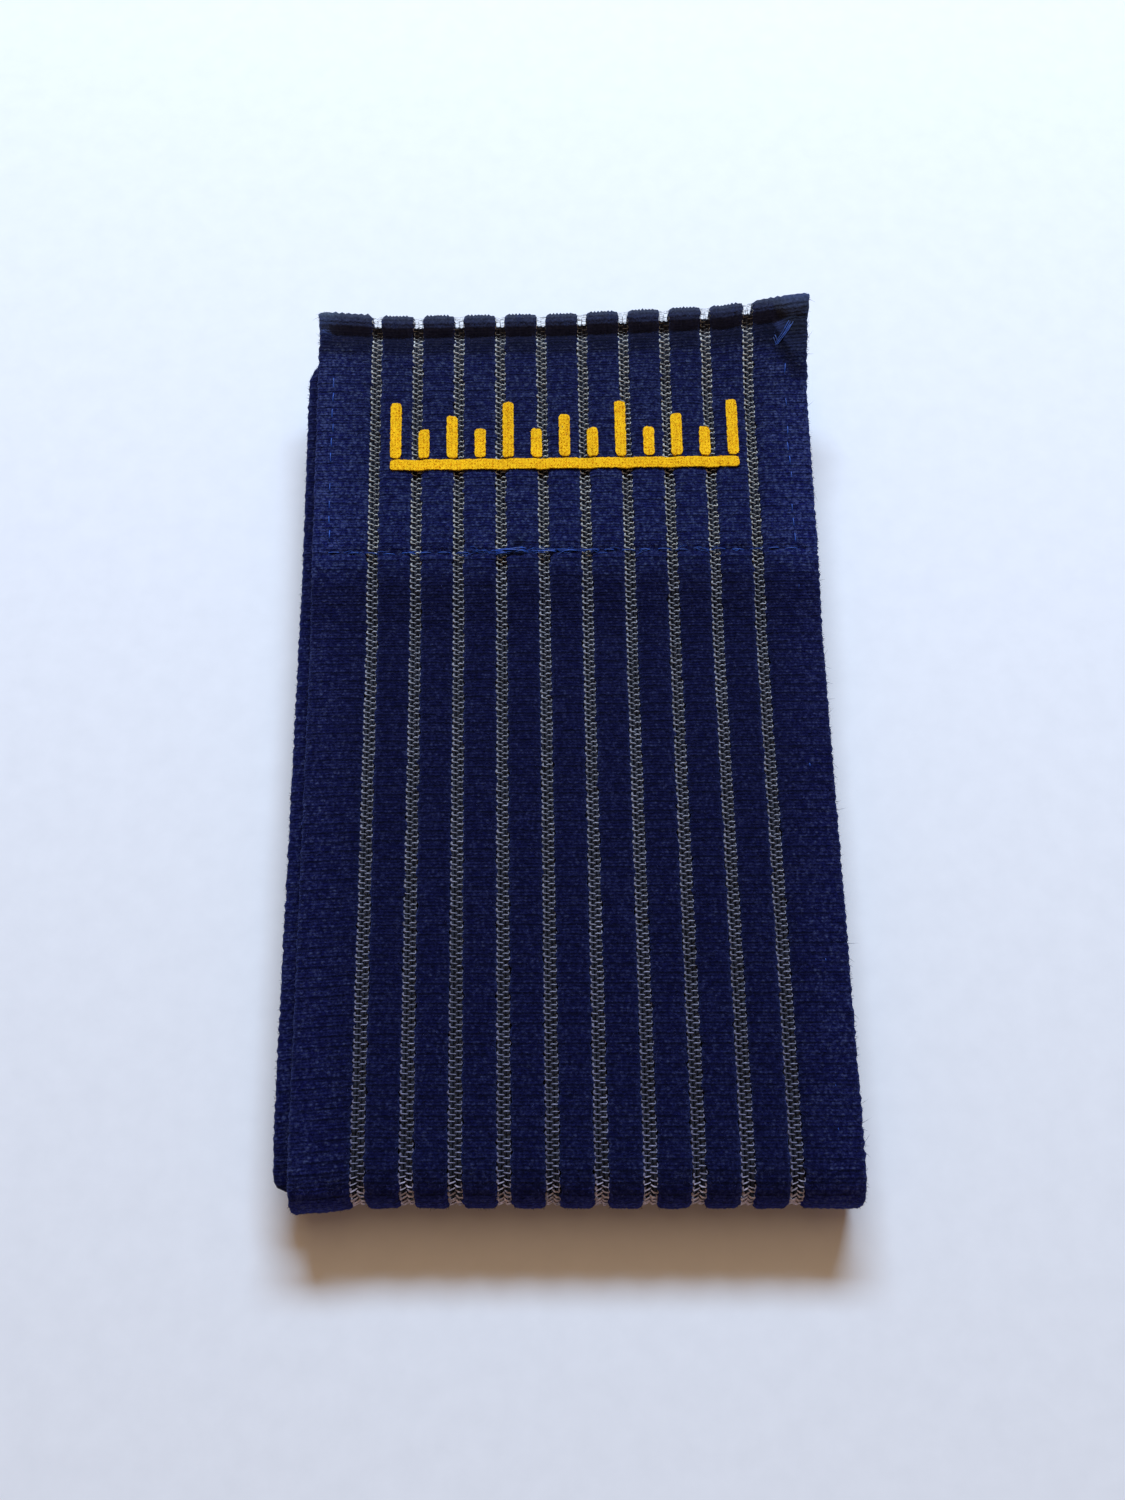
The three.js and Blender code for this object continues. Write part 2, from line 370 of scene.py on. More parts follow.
def tubeField(paths, radius, sides):  # many tubes at once: paths is tubes x points x (x, s, h)
    count, steps = paths.shape[:2]
    tangent = np.gradient(paths, axis=1)
    tangent /= np.linalg.norm(tangent, axis=2, keepdims=True)
    side = np.cross(tangent, (0.11, 0.23, 0.97))
    side /= np.linalg.norm(side, axis=2, keepdims=True)
    up = np.cross(side, tangent)
    angle = np.arange(sides) * 2 * math.pi / sides
    radius = np.broadcast_to(radius, (count, steps))[:, :, None, None]
    ring = side[:, :, None] * np.cos(angle)[:, None] + up[:, :, None] * np.sin(angle)[:, None]
    points = (paths[:, :, None] + ring * radius).reshape(-1, 3)
    first = np.arange(count)[:, None, None] * steps * sides
    here = first + np.arange(steps - 1)[:, None] * sides + np.arange(sides)
    beside = first + np.arange(steps - 1)[:, None] * sides + (np.arange(sides) + 1) % sides
    walls = np.stack((here, beside, beside + sides, here + sides), axis=-1).reshape(-1, 4)
    cap = first[:, 0] + np.arange(sides)
    caps = np.concatenate((cap, cap + (steps - 1) * sides))
    return points, walls.tolist() + caps.tolist()


def tubePiece(name, fields):  # fields of tubes laid on the folds as one piece
    points, faces, used = [], [], 0
    for fieldPoints, fieldFaces in fields:
        points.append(fieldPoints)
        faces.extend([corner + used for corner in face] for face in fieldFaces)
        used += len(fieldPoints)
    flat = np.concatenate(points)
    piece = arrayPiece(name, layOnFold(flat), faces)
    clothUv(piece, flat)
    return piece


def finishPiece(piece, material, smoothTo=None):  # shaded smooth where faces meet under that angle
    if smoothTo:
        selectOnly(piece)
        bpy.ops.object.shade_smooth_by_angle(angle=math.radians(smoothTo))
    piece.data.materials.clear()
    piece.data.materials.append(material)
    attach(piece, "root")
    triangles = sum(len(face.vertices) - 2 for face in piece.data.polygons)
    print(f"{piece.name}: {triangles} triangles")


# Finishes

def newFinish(name):
    material = bpy.data.materials.new(name)
    material.use_nodes = True
    return material, material.node_tree, material.node_tree.nodes["Principled BSDF"]


def addNode(tree, kind, coords=None, **sockets):
    node = tree.nodes.new(kind)
    if coords:
        tree.links.new(coords, node.inputs["Vector"])
    for name, value in sockets.items():
        node.inputs[name].default_value = value
    return node


def addNoise(tree, coords, scale, detail=3.0, roughness=0.55):
    noise = addNode(tree, "ShaderNodeTexNoise", coords, Scale=scale, Detail=detail, Roughness=roughness)
    return noise.outputs["Fac"]


def addRamp(tree, source, stops):
    ramp = tree.nodes.new("ShaderNodeValToRGB")
    tree.links.new(source, ramp.inputs["Fac"])
    elements = ramp.color_ramp.elements
    while len(elements) < len(stops):
        elements.new(0.5)
    for element, (place, colour) in zip(elements, stops):
        element.position = place
        element.color = (*colour, 1.0)
    return ramp.outputs["Color"]


def mixColours(tree, blend, factor, first, second):
    mix = tree.nodes.new("ShaderNodeMix")
    mix.data_type = "RGBA"
    mix.blend_type = blend
    if isinstance(factor, float):
        mix.inputs["Factor"].default_value = factor
    else:
        tree.links.new(factor, mix.inputs["Factor"])
    tree.links.new(first, mix.inputs["A"])
    if isinstance(second, tuple):
        mix.inputs["B"].default_value = (*second, 1.0)
    else:
        tree.links.new(second, mix.inputs["B"])
    return mix.outputs["Result"]


def addBump(tree, height, distance, strength, before=None):
    bump = addNode(tree, "ShaderNodeBump", Distance=distance, Strength=strength)
    tree.links.new(height, bump.inputs["Height"])
    if before:
        tree.links.new(before, bump.inputs["Normal"])
    return bump.outputs["Normal"]


def addSpan(tree, source, start, end, low, high):  # a value that runs from low to high over a span
    span = tree.nodes.new("ShaderNodeMapRange")
    tree.links.new(source, span.inputs["Value"])
    for name, value in (("From Min", start), ("From Max", end), ("To Min", low), ("To Max", high)):
        span.inputs[name].default_value = value
    return span.outputs["Result"]


def addFade(tree, source, start, end, first, last):  # one colour to another over a span
    share = addSpan(tree, source, start, end, 0.0, 1.0)
    return addRamp(tree, share, [(0.0, first), (1.0, last)])


def clothPlace(tree):  # where on the flat cloth a point lies, in centimetres
    uv = tree.nodes.new("ShaderNodeUVMap")
    uv.uv_map = "cloth"
    place = tree.nodes.new("ShaderNodeSeparateXYZ")
    tree.links.new(uv.outputs["UV"], place.inputs["Vector"])
    return place, uv.outputs["UV"]


def addMath(tree, operation, *values):
    node = tree.nodes.new("ShaderNodeMath")
    node.operation = operation
    for socket, value in zip(node.inputs, values):
        tree.links.new(value, socket)
    return node.outputs["Value"]


def addRows(tree, coords, scale, distortion, detailScale):  # rows across the cloth
    wave = addNode(tree, "ShaderNodeTexWave", coords, Scale=scale, Distortion=distortion, Detail=2.0)
    wave.inputs["Detail Scale"].default_value = detailScale
    wave.bands_direction = "Y"
    return wave.outputs["Fac"]


def objectPlace(tree):
    return tree.nodes.new("ShaderNodeTexCoord").outputs["Object"]


def setSurface(tree, shader, colour, roughness, specular, normal=None):
    tree.links.new(colour, shader.inputs["Base Color"])
    if normal:
        tree.links.new(normal, shader.inputs["Normal"])
    shader.inputs["Roughness"].default_value = roughness
    shader.inputs["Specular IOR Level"].default_value = specular


white = (1.0, 1.0, 1.0)
plushLook = {  # places on the cloth are in centimetres, and a shade multiplies the pile's colour
    "pile": [(0.36, (0.0014, 0.0018, 0.0255)), (0.50, (0.0100, 0.0124, 0.0515)),
             (0.64, (0.0172, 0.0208, 0.0680))],
    "loops": (0.15, 0.85, (0.22, 0.22, 0.64), (1.5, 1.5, 1.17)),
    # painted shade in the hollows between the pile's loops
    "loopEdgeShade": (0.12, 0.62, (1.2, 1.2, 1.1), (0.3, 0.3, 0.6)),
    "fine": (0.36, 0.64, (0.25, 0.25, 0.64), (1.5, 1.5, 1.17)),
    # painted shade in the gaps between the pile's rows
    "rowGapShade": (0.03, 0.22, (0.25, 0.25, 0.42), white),
    "gapDashes": (0.44, 0.58, 0.0, 1.0),     # the painted row-gap shade shows here and there along the rows
    "rows": [(0.0, (0.70, 0.70, 0.80)), (0.7, white)],
    "tab": (2.8, 3.35, 2.25),
    "tabFarEnd": (0.80, 0.72, 0.68),
    "nearEnd": (1.14, 1.19, 1.16),
    # painted light on the near fold's face, which turns away from the lamps: floor bounce and sheen
    "nearFold": (2.5, 2.6, 4.4),
    # painted highlight along the selvedges, where the edges' curve and fuzz catch the light
    "selvedgeHighlight": (2.95, 3.60, white, (1.75, 1.75, 1.5)),
    "rollShadow": [(-0.05, (1.4, 1.3, 1.0)), (0.0, (0.34, 0.24, 0.18)), (0.16, (0.28, 0.18, 0.17)),
             (0.24, (0.40, 0.33, 0.30)), (0.36, (0.60, 0.53, 0.48))],  # painted shadow of the hem's roll, from the groove on
    "rollShadowLength": 0.44,
    "rollShadowEnds": (3.40, 3.80, 0.0, 0.5),      # the painted shadow ends short of the cloth's edges
    "threadDimpleShade": ((3.38, -3.43, 0.40), (-0.70, -0.13, 0.17)),  # painted shade round the tack and the knot: across, past the seam, reach
    "threadDimpleDarkness": 0.4,
    "brightest": (0.035, 0.045, 0.155),      # no loop glints
    "roll": [(0.19, (0.034, 0.039, 0.049)), (0.24, (0.024, 0.028, 0.050)),
             (0.30, (0.030, 0.039, 0.092)), (0.47, (0.035, 0.048, 0.132))],  # smooth and greyer, worn along its crest; paler and bluer on its front, painted light in its shade
    "rollShare": 0.8,
    "rollClumps": (0.36, 0.64, 0.75, 1.25),
    # painted light on the roll's left end
    "rollLeftEnd": (-3.65, -3.40, (1.55, 1.8, 1.8), white),
    # painted light on the roll's right corner, and painted shade below it
    "rollRightEndLightAndShade": (0.95, 1.25, (1.05, 1.2, 1.75), (0.28, 0.28, 0.28)),
    "rollRightFrom": (3.2, 3.5, 0.0, 1.0),
    "smoothCorner": (3.25, 3.55, 0.0, 0.5),  # the hem's right corner lies smooth for 5 mm more
    "sheen": {"Weight": 0.22, "Roughness": 0.5, "Tint": (0.18, 0.26, 0.85, 1.0)},
}


def plushFinish():
    look = plushLook
    material, tree, shader = newFinish("navyPlush")
    place, coords = clothPlace(tree)
    across, along = place.outputs["X"], place.outputs["Y"]
    selvedge = addMath(tree, "ABSOLUTE", across)
    crest, groove, seam, top = (s / 10 for s in (crestS, grooveS, seamS, ends["top"]))
    rows = addRows(tree, coords, 7.06, 2.6, 3.0)
    rowGapShade = addRows(tree, coords, 2.353, 1.2, 1.0)  # every third row, where shade is painted between rows
    loops = addNode(tree, "ShaderNodeTexVoronoi", coords, Scale=20.0, Randomness=1.0)
    wide = addNode(tree, "ShaderNodeMapping", coords, Scale=(0.25, 1.0, 1.0))
    dashes = addNoise(tree, wide.outputs["Vector"], 11.0, 3.0, 0.6)
    clumps = addNoise(tree, coords, 19.0, 4.0, 0.7)
    fine = addNoise(tree, coords, 35.0, 3.0, 0.6)
    hemAlong = addMath(tree, "SUBTRACT", along, addSpan(tree, across, *look["smoothCorner"]))
    # the roll's colours and the painted shadow below it run over the same span
    pastCrest = addSpan(tree, hemAlong, crest, groove + look["rollShadowLength"], 0.0, 1.0)
    grooveAt = (grooveS - crestS) / (grooveS - crestS + 10 * look["rollShadowLength"])
    rollShadowStops = [(grooveAt + past, shade) for past, shade in look["rollShadow"]]
    rollShadow = addRamp(tree, pastCrest, rollShadowStops + [(1.0, white)])
    roll = addRamp(tree, pastCrest, look["roll"])
    for shade in (addSpan(tree, clumps, *look["rollClumps"]), addFade(tree, across, *look["rollLeftEnd"])):
        roll = mixColours(tree, "MULTIPLY", 1.0, roll, shade)
    # painted light and shade over the roll's smoothed right corner
    rollRightLitAndShaded = mixColours(tree, "MULTIPLY", 1.0, roll, addFade(tree, along, *look["rollRightEndLightAndShade"]))
    roll = mixColours(tree, "MIX", addSpan(tree, across, *look["rollRightFrom"]), roll, rollRightLitAndShaded)
    onRoll = addSpan(tree, hemAlong, groove - 0.07, groove + 0.07, look["rollShare"], 0.0)
    bend = addSpan(tree, along, top + 0.15, visibleEnd / 10 + 0.4, 0.0, 1.0)
    paintedFoldLight = look["nearFold"]
    shades = [
        addFade(tree, loops.outputs["Color"], *look["loops"]),
        addFade(tree, loops.outputs["Distance"], *look["loopEdgeShade"]),
        addFade(tree, fine, *look["fine"]),
        mixColours(tree, "LIGHTEN", 1.0, addFade(tree, rowGapShade, *look["rowGapShade"]),
                   addSpan(tree, dashes, *look["gapDashes"])),
        addRamp(tree, rows, look["rows"]),
        addFade(tree, along, seam - 0.1, seam + 0.5, look["tab"], white),
        addFade(tree, along, groove, seam, look["tabFarEnd"], white),
        addFade(tree, along, seam + 3, top, white, look["nearEnd"]),
        # painted light over the near fold's face
        addRamp(tree, bend, [(0.0, white), (0.25, paintedFoldLight), (0.6, paintedFoldLight), (1.0, white)]),
        addFade(tree, selvedge, *look["selvedgeHighlight"]),
        # painted shadow below the hem's roll
        mixColours(tree, "LIGHTEN", 1.0, rollShadow, addSpan(tree, selvedge, *look["rollShadowEnds"])),
    ]
    # painted shade round the tack and the knot, where the thread pulls the pile in
    for x, pastSeam, reach in look["threadDimpleShade"]:
        away = tree.nodes.new("ShaderNodeVectorMath")
        away.operation = "DISTANCE"
        tree.links.new(coords, away.inputs[0])
        away.inputs[1].default_value = (x, seam + pastSeam, 0.0)
        shades.append(addSpan(tree, away.outputs["Value"], reach / 5, reach, look["threadDimpleDarkness"], 1.0))
    colour = addRamp(tree, clumps, look["pile"])
    for shade in shades:
        colour = mixColours(tree, "MULTIPLY", 1.0, colour, shade)
    colour = mixColours(tree, "DARKEN", 1.0, colour, look["brightest"])
    colour = mixColours(tree, "MIX", onRoll, colour, roll)
    bump = None
    for height, distance, strength in ((rows, 0.00010, 0.5), (clumps, 0.00025, 0.9), (fine, 0.00010, 0.7)):
        bump = addBump(tree, height, distance, strength, bump)
    setSurface(tree, shader, colour, 0.95, 0.08, bump)
    for part, value in look["sheen"].items():
        shader.inputs["Sheen " + part].default_value = value
    return material


def fibreFinish():
    material, tree, shader = newFinish("navyFibreLitTips")
    tone = addNoise(tree, objectPlace(tree), 2200.0, 2.0)
    # paler than the pile: painted highlight on the lit fibre tips
    colour = addRamp(tree, tone, [(0.40, (0.003, 0.004, 0.032)), (0.64, (0.036, 0.040, 0.120))])
    setSurface(tree, shader, colour, 0.8, 0.15)
    return material


yarnLook = {
    "drift": [(0.3, (0.8, 0.8, 0.8)), (0.7, (1.15, 1.15, 1.15))],
    # paler on the tab, duller towards the near fold
    "paleToDull": [(0.0, (1.75, 1.72, 1.45)), (0.06, (1.27, 1.27, 1.27)), (1.0, (0.60, 0.57, 0.78))],
    "foldLightSpan": (0.08, 0.5),         # painted light round the near fold, in centimetres past the top layer's end
}


def yarnFinish(name, dark, light, roughness, foldBounceLight=None):
    material, tree, shader = newFinish(name)
    coords = objectPlace(tree)
    tone = addNoise(tree, coords, 1400.0, 3.0, 0.6)
    drift = addNoise(tree, coords, 90.0, 2.0)
    shades = [addRamp(tree, drift, yarnLook["drift"])]
    if foldBounceLight:  # pale on the tab, duller towards the near fold, and paler again round the near fold: painted warm light bounced from the floor and through the mesh
        along = clothPlace(tree)[0].outputs["Y"]
        top = ends["top"] / 10
        bounceFrom, bounceFull = yarnLook["foldLightSpan"]
        pastSeam = addSpan(tree, along, seamS / 10, top - 1, 0.0, 1.0)
        shades.append(addRamp(tree, pastSeam, yarnLook["paleToDull"]))
        shades.append(addFade(tree, along, top + bounceFrom, top + bounceFull, white, foldBounceLight))
    colour = addRamp(tree, tone, [(0.30, dark), (0.70, light)])
    for shade in shades:
        colour = mixColours(tree, "MULTIPLY", 1.0, colour, shade)
    setSurface(tree, shader, colour, roughness, 0.35, addBump(tree, tone, 0.00005, 0.6))
    return material


def printFinish():
    material, tree, shader = newFinish("yellowFlock")
    coords = objectPlace(tree)
    grain = addNoise(tree, coords, 2600.0, 3.0, 0.6)
    cloud = addNoise(tree, coords, 260.0, 2.0)
    colour = addRamp(tree, grain, [(0.28, (0.80, 0.40, 0.003)), (0.62, (1.0, 0.60, 0.008))])
    fade = addRamp(tree, cloud, [(0.3, (0.9, 0.88, 0.8)), (0.7, (1.04, 1.04, 1.04))])
    colour = mixColours(tree, "MULTIPLY", 1.0, colour, fade)
    setSurface(tree, shader, colour, 0.9, 0.15, addBump(tree, grain, 0.0001, 0.7))
    return material


def hookFinish():
    material, tree, shader = newFinish("blackHookTape")
    coords = objectPlace(tree)
    weave = addNode(tree, "ShaderNodeTexWave", coords, Scale=420.0, Distortion=1.0, Detail=1.0)
    tone = addNoise(tree, coords, 700.0, 3.0)
    colour = addRamp(tree, tone, [(0.3, (0.006, 0.006, 0.009)), (0.7, (0.020, 0.020, 0.026))])
    setSurface(tree, shader, colour, 0.5, 0.5, addBump(tree, weave.outputs["Fac"], 0.0001, 0.6))
    return material


def paperFinish():
    material, tree, shader = newFinish("palePaper")
    grain = addNoise(tree, objectPlace(tree), 260.0, 4.0)
    colour = addRamp(tree, grain, [(0.3, (0.80, 0.81, 0.83)), (0.7, (0.83, 0.84, 0.86))])
    setSurface(tree, shader, colour, 0.9, 0.1)
    return material


plush = plushFinish()
litTipFibre = fibreFinish()
# the last colour is painted light on the stripes round the near fold
stripeYarn = yarnFinish("greyFilament", (0.125, 0.128, 0.15), (0.36, 0.365, 0.4), 0.55, (4.1, 3.75, 2.85))
elasticYarn = yarnFinish("darkElastic", (0.006, 0.007, 0.014), (0.022, 0.025, 0.042), 0.7)
blueThread = yarnFinish("blueThread", (0.003, 0.021, 0.145), (0.013, 0.078, 0.41), 0.5)
# the same blue thread, painted darker for the shade the tack lies in
shadedThread = yarnFinish("shadedThread", (0.001, 0.010, 0.060), (0.014, 0.070, 0.34), 0.5)
yellowFlock = printFinish()
hookTape = hookFinish()
print("finishes made")


# The plush ribs, modelled flat as long bars and then laid on the folds

ribs = {
    "rounding": 0.5,
    "roundingSteps": 2,
    "innerCuts": (12, 1),        # across an inner rib's outer face and its back
    "edgeCuts": (13, 2),
    "innerLengthCuts": (16, 16),  # cut twice along the whole length
    "edgeLengthCuts": (18, 29),
    "faceStep": 0.68,            # spacing of the cuts where the pile shows, in mm
    "seamStep": 0.32,
    "bendStep": 1.3,
    "hiddenStep": 7.0,
    "crown": 0.10,
    "waleRise": 0.03,
    "rollWaleRise": 0.17,
    "courseRise": 0.035,
    "edgeRise": 0.065,
    "swell": (0.20, 0.03),       # how far the pile stands out over the stripes: on the tab, at the near fold
    "wander": 0.15,              # of the ribs' edges beside the stripes
    "wanderSize": 2.2,
    "lumpRise": 0.05,
    "lumpSize": 3.2,
    "rollLumpSize": 1.6,
    "clumpRise": 0.035,
    "seamDip": 0.34,
    "seamDipWidth": 0.55,
    "seamDipEnd": 36.5,
    "seamMargin": 1.3,           # cut finely this far from the seam
    "pinchDip": 0.25,            # the hem's sewing pulls the pile in beside the roll
    "pinchWidth": 0.9,
    "rollPuff": 0.12,
    "freeCorners": ((33.0, 35.5), (35.6, 37.0)),  # the pinch fades out there, right and left
    "cornerFill": (1.2, 0.6),    # right and left
    "cornerFillWidth": 1.8,
    "endCorner": 1.6,            # roundness of the inner end's corners
}


def ribBar(left, right, crossCuts, lengthCuts):
    place = ((left + right) / 2, 0.5, 0)
    size = (right - left, 1, cloth["ribThickness"])
    bar = roundedBar(place, size, 1, ribs["rounding"], ribs["roundingSteps"])
    for upper, cuts in zip((True, False), crossCuts):
        selectEdges(bar, 0)
        bpy.ops.object.mode_set(mode="OBJECT")
        for edge in bar.data.edges:
            height = bar.data.vertices[edge.vertices[0]].co.z
            edge.select = edge.select and (height > 0) == upper
        bpy.ops.object.mode_set(mode="EDIT")
        bpy.ops.mesh.subdivide(number_cuts=cuts)
    for cuts in lengthCuts:
        selectEdges(bar, 1)
        bpy.ops.mesh.subdivide(number_cuts=cuts)
    bpy.ops.object.mode_set(mode="OBJECT")
    return bar


def ribStations(hiddenStep):  # where along the cloth each cut lies: close where the pile shows
    seamFrom, seamTo = seamS - ribs["seamMargin"], seamS + ribs["seamMargin"]
    spans = [
        (0.0, seamFrom, ribs["faceStep"]),
        (seamFrom, seamTo, ribs["seamStep"]),
        (seamTo, visibleEnd, ribs["faceStep"]),
        (visibleEnd, ends["bottom"], hiddenStep),
        (ends["bottom"], ends["topFold"], min(hiddenStep, ribs["bendStep"])),
        (ends["topFold"], path["length"], hiddenStep),
    ]
    counts = np.cumsum([0] + [(end - start) / step for start, end, step in spans])
    return counts / counts[-1], [span[0] for span in spans] + [spans[-1][1]]


def endTuck(s):  # how far the inner end's corners are rounded off
    corner = ribs["endCorner"]
    past = np.clip(s - path["length"] + corner, 0, corner)
    return corner - np.sqrt(corner**2 - past**2)


def ribRelief(x, s, h, left, right, segment, ring, outerSide):
    core = np.column_stack((
        np.clip(x, left + ribs["rounding"], right - ribs["rounding"]),
        np.clip(h, ribs["rounding"] - halfRib, halfRib - ribs["rounding"]),
    ))
    out = np.column_stack((x, h)) - core
    out /= np.maximum(np.linalg.norm(out, axis=1, keepdims=True), 1e-6)
    face = np.clip(out[:, 1], 0, 1)
    side = np.abs(out[:, 0])
    rng = np.random.default_rng(31)
    shows = rampUp(visibleEnd + 2 - s, 0, 2)
    sideShows = np.maximum(shows, abs(outerSide))
    onRoll = rampUp(s, ends["hem"] - 1.5, ends["hem"]) * rampUp(grooveS - s, 0.4, 1.4)
    wale = np.cos((x - left - ribs["rounding"]) / segment * math.pi)
    course = np.where(ring % 2 == 0, 1.0, -1.0) * rng.uniform(0.5, 1.5, ring.max() + 1)[ring]
    rise = ribs["lumpRise"] * softNoise(x, s, ribs["lumpSize"], 5)
    rise += rng.normal(0, ribs["clumpRise"], len(x)) * sideShows
    lump = wale * (1 + 0.5 * softNoise(x, s, ribs["rollLumpSize"], 6))
    rightFree, leftFree = ribs["freeCorners"]
    cornerFree = rampUp(x, *rightFree) + rampUp(-x, *leftFree)
    cornerFill = np.where(x > 0, *ribs["cornerFill"]) * cornerFree
    cornerFill = cornerFill * np.exp(-((s - grooveS) / ribs["cornerFillWidth"]) ** 2)
    rollRise = ribs["rollWaleRise"] * onRoll * (1 - 0.8 * cornerFree)
    rise += face * (wale * ribs["waleRise"] * shows * (1 - onRoll) + lump * rollRise)
    rise += course * (face * ribs["courseRise"] * (1 - onRoll) * shows + side * ribs["edgeRise"] * sideShows)
    across = (x - left) / (right - left) * 2 - 1
    rise += face * (ribs["crown"] * (1 - across**2) + ribs["rollPuff"] * onRoll)
    inSeam = np.exp(-((s - seamS) / ribs["seamDipWidth"]) ** 2) * rampUp(ribs["seamDipEnd"] - abs(x), 0, 1)
    inGroove = np.exp(-((s - grooveS) / ribs["pinchWidth"]) ** 2)
    rise -= face * (ribs["seamDip"] * inSeam + ribs["pinchDip"] * inGroove * (1 - cornerFree))
    outer = right if outerSide > 0 else left
    inner = left if outerSide > 0 else right
    tuck = outerSide * endTuck(s) * (x - inner) / (outer - inner)
    wander = ribs["wander"] * softNoise(x, s, ribs["wanderSize"], 12) * sideShows * (1 - onRoll)
    swell = np.interp(s, (seamS, ends["top"]), ribs["swell"]) + wander
    swell = np.where(out[:, 0] * outerSide > 0, 0, swell)
    return x + out[:, 0] * (rise + swell) - tuck, s, h + out[:, 1] * rise + face * cornerFill


def makeRibs():
    bars = []
    last = cloth["stripeCount"]
    for rib in range(last + 1):
        left, right = ribEdges(rib)
        outerSide = {0: -1, last: 1}.get(rib, 0)
        kind = "edge" if outerSide else "inner"
        lengthCuts = ribs[kind + "LengthCuts"]
        bar = ribBar(left, right, ribs[kind + "Cuts"], lengthCuts)
        x, y, h = pieceCoords(bar).T
        ring = np.rint(y * (lengthCuts[0] + 1) * (lengthCuts[1] + 1)).astype(int)
        shares, places = ribStations(ribs["faceStep"] if outerSide else ribs["hiddenStep"])
        s = np.interp(y, shares, places)
        segment = (right - left - 2 * ribs["rounding"]) / (ribs[kind + "Cuts"][0] + 1)
        flat = np.column_stack(ribRelief(x, s, h, left, right, segment, ring, outerSide))
        setCoords(bar, layOnFold(flat))
        clothUv(bar, flat)
        bars.append(bar)
    piece = joinPieces("strap_pile", bars)
    outwardNormals(piece)
    finishPiece(piece, plush, smoothTo=75)
    return piece


strapPile = makeRibs()
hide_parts("strap_band")


# The open stripes: a comb of pale yarn from each side over dark elastic warps

stripes = {
    "rowPitch": 0.87,
    "radius": 0.09,
    "warpRadius": 0.37,
    "warpAtRoll": 0.03,
    "warpPlaces": ((-0.68, -0.34), (0.0, -0.24), (0.68, -0.18)),  # across the stripe and height
    "openTeeth": 0.35,           # thickness of the teeth on the hem's roll
    "warpStep": 1.2,
    "openTo": (3.8, 2.9),        # how far the stripes stand open before and after the hem's crest
    "hairs": 9,                  # on each side of an open stripe
    "hairRadius": 0.045,
    "hairReach": (0.5, 1.25),
    "wander": 0.05,
    "narrowing": (0.84, 1.0),    # on the tab, at the near fold
    "chevron": 0.45,
    "chevronFrom": (15, 9),      # before the near fold's end
    "crowding": 0.5,             # the teeth lie close together round the near fold
    "crowdingFrom": (1, 4.5),    # past the top layer's end
}
combs = {  # one tooth of each comb: across the stripe, along it, height and thickness
    "left": [
        (-0.80, -0.44, 0.40, 1.3),
        (-0.88, -0.22, 0.52, 1.5),
        (-0.80, 0.00, 0.54, 1.3),
        (-0.54, 0.02, 0.48, 0.85),
        (-0.28, 0.03, 0.40, 0.85),
        (0.03, 0.04, 0.20, 0.7),
    ],
    "right": [
        (0.86, -0.40, 0.20, 0.7),
        (0.95, -0.18, 0.38, 0.8),
        (0.86, 0.04, 0.40, 0.8),
        (0.62, 0.04, 0.44, 0.85),
        (0.34, 0.03, 0.52, 1.1),
        (0.00, 0.04, 0.22, 0.75),
    ],
}


def pastRoll(s, start, end):  # 0 over the hem's crest, where the stripes stand open, and 1 before and after
    before = stripes["openTo"][0] - crestS
    return np.maximum(rampUp(s, start, end), rampUp(-s, before, before + 0.2))


def notchHairs():  # dark ends that stand out of the ribs into the open stripes
    rng = np.random.default_rng(63)
    share = np.linspace(0, 1, 4)
    hairs = []
    for stripe in range(cloth["stripeCount"]):
        for side in (-1, 1):
            for s in np.linspace(crestS + 0.6, crestS + stripes["openTo"][1] + 0.3, stripes["hairs"]):
                reach = rng.uniform(*stripes["hairReach"])
                x = stripeCentre(stripe) + side * (1.1 - reach * share)
                run = s + rng.normal(0, 0.15) + rng.normal(0, 0.12) * share
                hairs.append(np.column_stack((x, run, rng.uniform(-0.1, 0.8) - 0.15 * share)))
    return tubeField(np.array(hairs), stripes["hairRadius"] * (1 - 0.5 * share), 3)


def combTeeth(side, offset, start, end, keep, seed):
    rng = np.random.default_rng(seed)
    rows = np.arange(start + offset, end, stripes["rowPitch"])
    tooth = np.array(combs[side])[keep]
    paths = np.empty((cloth["stripeCount"], len(rows), len(tooth), 3))
    chevronFrom, chevronFull = (visibleEnd - before for before in stripes["chevronFrom"])
    bend = rampUp(rows, chevronFrom, chevronFull) * rampUp(visibleEnd + 4 - rows, 0, 4)
    narrow = np.interp(rows, (seamS, ends["top"]), stripes["narrowing"])[:, None]
    for stripe in range(cloth["stripeCount"]):
        loose = rng.normal(0, stripes["wander"], (len(rows), 3))
        slope = stripes["chevron"] * bend[:, None] * (1 - np.abs(tooth[:, 0]) / 1.1)
        paths[stripe, :, :, 0] = stripeCentre(stripe) + tooth[:, 0] * narrow + loose[:, 0:1]
        paths[stripe, :, :, 1] = rows[:, None] + tooth[:, 1] + loose[:, 1:2] - slope
        paths[stripe, :, :, 2] = tooth[:, 2] + loose[:, 2:3]
    rowShare = stripes["openTeeth"] + (1 - stripes["openTeeth"]) * pastRoll(rows, grooveS, grooveS + 1.5)
    crowdFrom, crowdFull = (ends["top"] + past for past in stripes["crowdingFrom"])
    rowShare = rowShare * (1 + stripes["crowding"] * rampUp(rows, crowdFrom, crowdFull))
    rowShare = np.tile(rowShare, cloth["stripeCount"])[:, None]
    thickness = stripes["radius"] * tooth[:, 3] * rng.uniform(0.85, 1.2, rowShare.shape) * rowShare
    paths = paths.reshape(-1, len(tooth), 3)
    paths[:, :, 1] = np.clip(paths[:, :, 1], 0.1, path["length"] - 0.1)
    return paths, thickness


